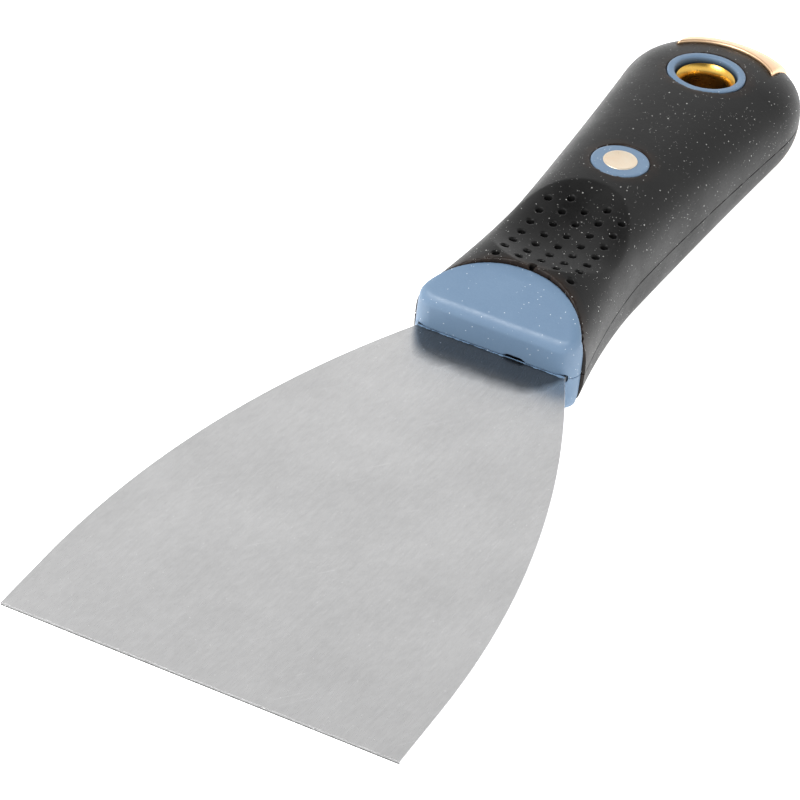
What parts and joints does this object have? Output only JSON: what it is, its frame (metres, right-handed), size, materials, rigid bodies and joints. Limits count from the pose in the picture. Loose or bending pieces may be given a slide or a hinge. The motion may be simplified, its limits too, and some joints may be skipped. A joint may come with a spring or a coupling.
{
  "type": "drywall taping knife",
  "caption": "Flexible flared steel blade on a full tang in a soft-grip handle with thumb scoops, a flush rivet, a lined hang hole and a metal hammer cap.",
  "frame": {"origin": "centre of the hang hole, midway through the handle, in the blade's mid plane", "axes": "+Z along the hang hole, +Y along the handle away from the blade, so the working edge faces -Y, X across the blade"},
  "size_m": [0.0762, 0.2319, 0.0266],
  "materials": {
    "blade_steel": "satin, brushed",
    "core_plastic": "satin moulded plastic, blue-grey",
    "grip_rubber": "soft-touch, slightly dusty",
    "rivet_metal": "bright copper colour",
    "eyelet_brass": "bright yellow brass",
    "cap_metal": "copper-coloured plating"
  },
  "bodies": {
    "root": {"blade": "blade_steel", "core_upper": "core_plastic", "core_lower": "core_plastic", "grip_upper": "grip_rubber", "grip_lower": "grip_rubber", "rivet_post": "rivet_metal", "rivet_pin": "rivet_metal", "eyelet": "eyelet_brass", "hammer_cap": "cap_metal"}
  },
  "joints": []
}
